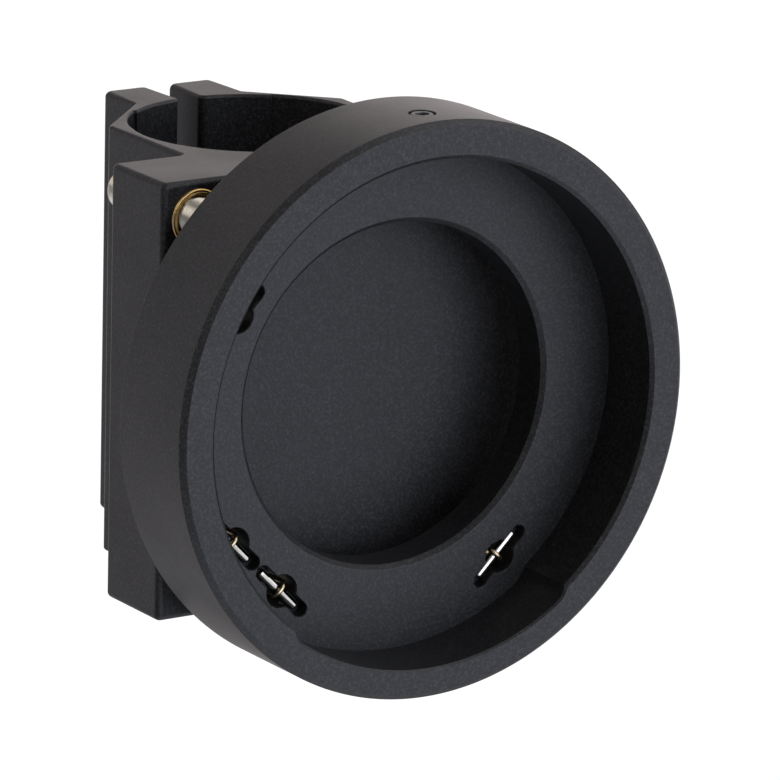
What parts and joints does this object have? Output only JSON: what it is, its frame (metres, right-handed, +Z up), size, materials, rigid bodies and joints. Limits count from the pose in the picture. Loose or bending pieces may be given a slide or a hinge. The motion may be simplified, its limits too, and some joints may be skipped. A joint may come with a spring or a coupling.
{
  "type": "kinematic optic mount",
  "caption": "Round cell for a large optic, drawn by springs onto ball contacts in front of a black block that clamps on a thick post, with fine screws that tip and turn it.",
  "frame": {"origin": "on the axis of the post bore, at the height of the optic's axis", "axes": "+Z up along the post, -Y the way the optic faces, +X to the right as seen from the optic's side"},
  "size_m": [0.088, 0.082, 0.088],
  "materials": {
    "black_anodised": "bead-blasted and black anodised, matte",
    "hard_steel": "ground and polished",
    "brass": "turned",
    "spring_wire": "drawn wire",
    "black_screw": "black oxide",
    "nylon": "natural nylon"
  },
  "bodies": {
    "clamp": {"clamp_block": "black_anodised", "top_bushing": "brass", "side_bushing": "brass", "pivot_stud": "hard_steel", "upper_left_plate_pin": "hard_steel", "left_plate_pin": "hard_steel", "bottom_left_plate_pin": "hard_steel", "bottom_right_plate_pin": "hard_steel"},
    "pivot": {"pivot_ball": "hard_steel"},
    "cell": {"optic_cell": "black_anodised", "cone_seat": "hard_steel", "groove_seat": "hard_steel", "flat_pad": "hard_steel", "upper_left_cell_pin": "hard_steel", "left_cell_pin": "hard_steel", "bottom_left_cell_pin": "hard_steel", "bottom_right_cell_pin": "hard_steel", "upper_left_spring": "spring_wire", "left_spring": "spring_wire", "bottom_left_spring": "spring_wire", "bottom_right_spring": "spring_wire"},
    "top_tip": {"top_ball": "hard_steel"},
    "top_adjuster": {"top_screw": "hard_steel"},
    "side_tip": {"side_ball": "hard_steel"},
    "side_adjuster": {"side_screw": "hard_steel"},
    "set_tip": {"optic_screw_tip": "nylon"},
    "set_screw": {"optic_set_screw": "black_screw"},
    "upper_jaw_screw": {"upper_clamp_screw": "black_screw"},
    "lower_jaw_screw": {"lower_clamp_screw": "black_screw"}
  },
  "joints": [
    {"name": "top_advance", "type": "slide", "parent": "clamp", "child": "top_tip", "axis": [0, -1, 0], "range_m": [-0.00222, 0.00222]},
    {"name": "top_turn", "type": "hinge", "parent": "top_tip", "child": "top_adjuster", "pos_m": [-0.02737, -0.03307, 0.02737], "axis": [0, -1, 0], "range_deg": [-2530, 2530]},
    {"name": "side_advance", "type": "slide", "parent": "clamp", "child": "side_tip", "axis": [0, -1, 0], "range_m": [-0.00222, 0.00222]},
    {"name": "side_turn", "type": "hinge", "parent": "side_tip", "child": "side_adjuster", "pos_m": [0.02737, -0.03307, -0.02737], "axis": [0, -1, 0], "range_deg": [-2530, 2530]},
    {"name": "cell_pitch", "type": "hinge", "parent": "clamp", "child": "pivot", "pos_m": [-0.02737, -0.03307, -0.02737], "axis": [1, 0, 0], "range_deg": [-2.4, 2.4], "deforming": ["upper_left_spring", "left_spring", "bottom_left_spring", "bottom_right_spring"]},
    {"name": "cell_yaw", "type": "hinge", "parent": "pivot", "child": "cell", "pos_m": [-0.02737, -0.03307, -0.02737], "axis": [0, 0, -1], "range_deg": [-2.4, 2.4], "deforming": ["upper_left_spring", "left_spring", "bottom_left_spring", "bottom_right_spring"]},
    {"name": "set_advance", "type": "slide", "parent": "cell", "child": "set_tip", "axis": [0, 0, -1], "range_m": [-0.0003, 0.0008]},
    {"name": "set_turn", "type": "hinge", "parent": "set_tip", "child": "set_screw", "pos_m": [0, -0.04625, 0.0418], "axis": [0, 0, -1], "range_deg": [-156, 413]},
    {"name": "upper_clamp_turn", "type": "hinge", "parent": "clamp", "child": "upper_jaw_screw", "pos_m": [0, 0.02457, 0.01704], "axis": [-1, 0, 0], "range_deg": [-360, 180]},
    {"name": "lower_clamp_turn", "type": "hinge", "parent": "clamp", "child": "lower_jaw_screw", "pos_m": [0, 0.02457, -0.018], "axis": [-1, 0, 0], "range_deg": [-360, 180]}
  ],
  "couplings": [
    {"joint": "top_turn", "follows": "top_advance", "rad_per_m": 19790},
    {"joint": "cell_pitch", "follows": "top_advance", "rad_per_m": 18.272},
    {"joint": "side_turn", "follows": "side_advance", "rad_per_m": 19790},
    {"joint": "cell_yaw", "follows": "side_advance", "rad_per_m": 18.272},
    {"joint": "set_turn", "follows": "set_advance", "rad_per_m": 8976}
  ]
}
